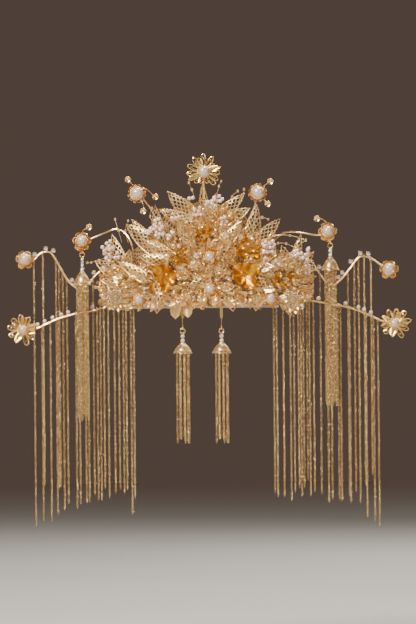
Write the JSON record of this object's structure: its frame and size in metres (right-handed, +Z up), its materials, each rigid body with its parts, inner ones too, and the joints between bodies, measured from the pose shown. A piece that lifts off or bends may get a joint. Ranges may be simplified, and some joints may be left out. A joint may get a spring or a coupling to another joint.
{
  "type": "phoenix crown",
  "caption": "Bridal phoenix crown: a fan of pierced gold leaves, flowers and pearls on a head band, with side arms that carry curtains of fine chain and hanging tassels.",
  "frame": {"origin": "middle of the head band's ring at the height of its lower edge, where the crown sits on a head", "axes": "+X across the wearer's face to the viewer's right, +Z up, the front faces -Y"},
  "size_m": [0.4035, 0.1181, 0.3793],
  "materials": {
    "wrapped_band": "matt ribbon wound round the band",
    "pearl": "lustrous pearl, white with a pink cast",
    "gold_bead": "polished yellow gold bead",
    "crystal": "cut clear stone, foiled",
    "deep_gold": "satin deep orange gold",
    "chain_gold": "fine link chain, soft gold",
    "leaf_gold": "pierced pale gold leaf, half gloss",
    "bright_gold": "polished gilt wire and petals"
  },
  "bodies": {
    "root": {"head_band": "wrapped_band", "backing": "leaf_gold", "crest_spray": "leaf_gold", "left_spray": "leaf_gold", "right_spray": "leaf_gold", "left_wing": "leaf_gold", "right_wing": "leaf_gold", "hem_spray": "leaf_gold", "heart_spray": "leaf_gold", "upper_arm_left": "bright_gold", "upper_arm_right": "bright_gold", "lower_arm_left": "bright_gold", "lower_arm_right": "bright_gold", "mid_arm_left": "bright_gold", "mid_arm_right": "bright_gold", "bud_stem_left": "bright_gold", "bud_stem_right": "bright_gold", "top_flower": "bright_gold", "top_pearl": "pearl", "bud_pearl_left": "pearl", "bud_pearl_right": "pearl", "mid_pearl_left": "pearl", "mid_pearl_right": "pearl", "upper_pearl_left": "pearl", "upper_pearl_right": "pearl", "lower_pearl_left": "pearl", "lower_pearl_right": "pearl", "crest_flower": "bright_gold", "centre_flower": "bright_gold", "low_flower_centre": "bright_gold", "low_flower_left": "bright_gold", "low_flower_right": "bright_gold", "crest_bead": "gold_bead", "centre_pearl": "pearl", "low_pearl_centre": "pearl", "low_pearl_left": "pearl", "low_pearl_right": "pearl", "gold_flower_left": "deep_gold", "gold_flower_right": "deep_gold", "rosette_left": "bright_gold", "rosette_right": "bright_gold", "rosette_stones": "crystal", "arm_crystals": "crystal", "arm_pearls": "pearl", "upper_curtain_left": "chain_gold", "upper_curtain_right": "chain_gold", "lower_curtain_left": "chain_gold", "lower_curtain_right": "chain_gold", "side_pin_left": "bright_gold", "side_pin_right": "bright_gold", "side_beads": "crystal", "side_tassel_left": "chain_gold", "side_tassel_right": "chain_gold", "front_hook_left": "bright_gold", "front_hook_right": "bright_gold", "front_pin_left": "bright_gold", "front_pin_right": "bright_gold", "front_pearls": "pearl", "front_tassel_left": "chain_gold", "front_tassel_right": "chain_gold"}
  },
  "joints": []
}
